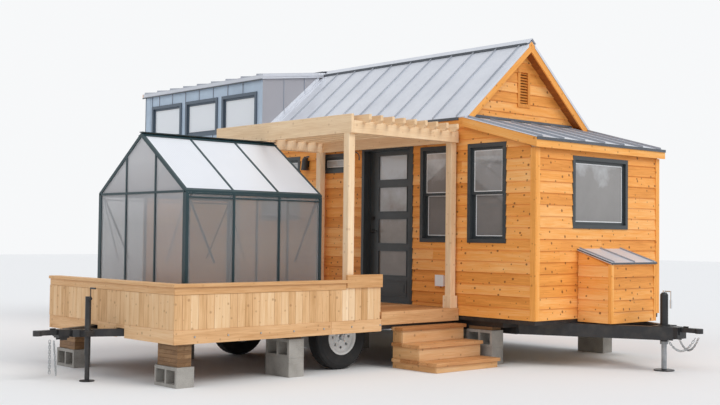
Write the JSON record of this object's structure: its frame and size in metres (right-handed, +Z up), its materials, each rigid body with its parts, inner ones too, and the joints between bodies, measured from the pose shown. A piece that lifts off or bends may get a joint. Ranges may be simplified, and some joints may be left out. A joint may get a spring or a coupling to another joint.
{
  "type": "tiny house on wheels",
  "caption": "Cedar clad tiny house on a trailer with a steel roof and dormer, joined to a porch trailer with planters, a pergola, steps and a small greenhouse",
  "frame": {"origin": "middle of the whole object's footprint, on the ground", "axes": "+Z up, +Y from the tongue end of the house to its back, +X from the porch trailer towards the house"},
  "size_m": [7.3144, 9.8599, 4.0073],
  "materials": {
    "black_steel": "semi gloss black paint",
    "tyre_rubber": "matte rubber",
    "white_rim": "gloss white paint",
    "chrome_crank": "polished",
    "concrete": "rough concrete block",
    "floor_board": "plain board",
    "cedar_siding": "oiled lap siding",
    "cedar_trim": "oiled boards",
    "steel_roof": "satin light grey steel",
    "blue_grey_steel": "satin blue grey steel",
    "charcoal_frame": "satin charcoal paint",
    "window_glass": "clear glazing",
    "white_plastic": "matte white",
    "deck_wood": "oiled deck boards",
    "pine": "new pine boards",
    "green_frame": "satin dark green",
    "clear_panel": "translucent grey twin wall sheet",
    "milky_panel": "translucent milky twin wall sheet"
  },
  "bodies": {
    "house": {"house_beams": "black_steel", "house_tongue": "black_steel", "house_axles": "black_steel", "house_tyres": "tyre_rubber", "house_rims": "white_rim", "house_fenders": "black_steel", "house_jack": "black_steel", "house_piers": "concrete", "floor": "floor_board", "left_wall_front": "cedar_siding", "left_wall_over_door": "cedar_siding", "left_wall_back": "cedar_siding", "right_wall": "cedar_siding", "back_wall": "cedar_siding", "lean_to_front_wall": "cedar_siding", "front_gable": "cedar_siding", "corner_boards": "cedar_trim", "roof_left": "steel_roof", "roof_right": "steel_roof", "ridge_cap": "steel_roof", "roof_trim": "cedar_trim", "dormer_walls": "blue_grey_steel", "dormer_roof": "steel_roof", "lean_to_roof": "steel_roof", "gable_vent": "cedar_trim", "window_frames": "charcoal_frame", "window_glass": "window_glass", "door_frame": "charcoal_frame", "utility_box": "cedar_siding", "utility_box_lid": "steel_roof", "wall_lamp": "black_steel", "outlet_box": "white_plastic", "porch_frame": "black_steel", "porch_jack": "black_steel", "porch_piers": "concrete", "porch_deck": "deck_wood", "porch_fenders": "deck_wood", "porch_skirt": "pine", "planter_walls": "pine", "planter_rails": "pine", "planter_caps": "pine", "pergola_posts": "pine", "pergola_beams": "pine", "pergola_rafters": "pine", "greenhouse_frame": "green_frame", "greenhouse_walls": "clear_panel", "greenhouse_roof": "milky_panel", "step_treads": "deck_wood", "step_boxes": "deck_wood", "plant_hook": "black_steel"},
    "door": {"entry_door": "charcoal_frame", "door_glass": "window_glass", "door_handle": "black_steel"},
    "near_porch_wheel": {"porch_tyre_near": "tyre_rubber", "porch_rim_near": "white_rim"},
    "far_porch_wheel": {"porch_tyre_far": "tyre_rubber", "porch_rim_far": "white_rim"},
    "house_crank": {"house_jack_crank": "chrome_crank"},
    "porch_crank": {"porch_jack_crank": "black_steel"}
  },
  "joints": [
    {"name": "entry_door_hinge", "type": "hinge", "parent": "house", "child": "door", "pos_m": [1.29325, -1.5615, 1.6], "axis": [0, 0, -1], "range_deg": [0, 100]},
    {"name": "near_porch_wheel_axle", "type": "hinge", "parent": "house", "child": "near_porch_wheel", "pos_m": [-0.49125, -2.063, 0.36], "axis": [0, 1, 0], "continuous": true},
    {"name": "far_porch_wheel_axle", "type": "hinge", "parent": "house", "child": "far_porch_wheel", "pos_m": [-0.49125, -0.176, 0.36], "axis": [0, 1, 0], "continuous": true},
    {"name": "house_jack_crank_turn", "type": "hinge", "parent": "house", "child": "house_crank", "pos_m": [2.36225, -4.442, 0.897], "axis": [0, 0, 1], "continuous": true},
    {"name": "porch_jack_crank_turn", "type": "hinge", "parent": "house", "child": "porch_crank", "pos_m": [-3.17725, -1.3725, 0.83], "axis": [0, 1, 0], "continuous": true}
  ]
}
